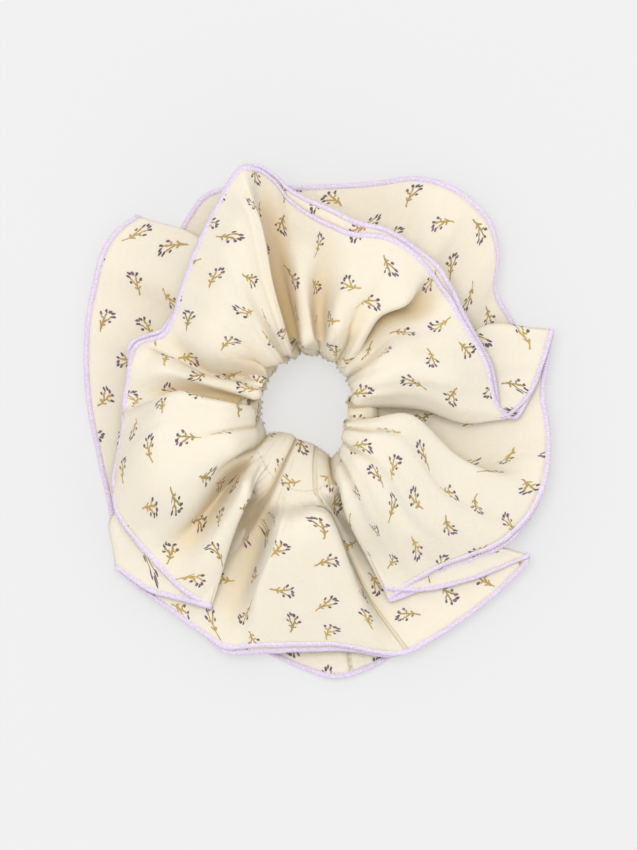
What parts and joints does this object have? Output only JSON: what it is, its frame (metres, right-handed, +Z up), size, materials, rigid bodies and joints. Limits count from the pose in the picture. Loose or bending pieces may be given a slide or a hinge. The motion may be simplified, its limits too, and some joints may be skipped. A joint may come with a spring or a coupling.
{
  "type": "hair scrunchie",
  "caption": "Ruffled fabric hair scrunchie: layered printed frills with rolled overlock edges, gathered on a stitched channel that holds a flat elastic loop.",
  "frame": {"origin": "middle of the part's outline, on the surface that it lies on", "axes": "+Z up out of the surface it lies on, through the hole; +Y towards the raised peak of the upper frill's side, +X to the right when the peak is at the far side"},
  "size_m": [0.1576, 0.1704, 0.0369],
  "materials": {
    "printed_cloth": "soft matt woven cloth, cream with a small printed sprig",
    "overlock_thread": "lilac textured overlock thread, dense and slightly shiny",
    "sewing_thread": "cream polyester sewing thread",
    "elastic": "white woven flat elastic"
  },
  "bodies": {
    "root": {"upper_frill_outer_leaf": "printed_cloth", "upper_frill_inner_leaf": "printed_cloth", "lower_frill_inner_leaf": "printed_cloth", "lower_frill_outer_leaf": "printed_cloth", "upper_frill_outer_overlock_edge": "overlock_thread", "upper_frill_inner_overlock_edge": "overlock_thread", "lower_frill_inner_overlock_edge": "overlock_thread", "lower_frill_outer_overlock_edge": "overlock_thread", "casing_inner_wall": "printed_cloth", "casing_outer_wall": "printed_cloth", "elastic_band": "elastic", "elastic_join_stitches": "sewing_thread", "top_channel_stitches": "sewing_thread", "low_channel_stitches": "sewing_thread", "outer_strip_join_stitches": "sewing_thread", "inner_strip_join_stitches": "sewing_thread"}
  },
  "joints": []
}
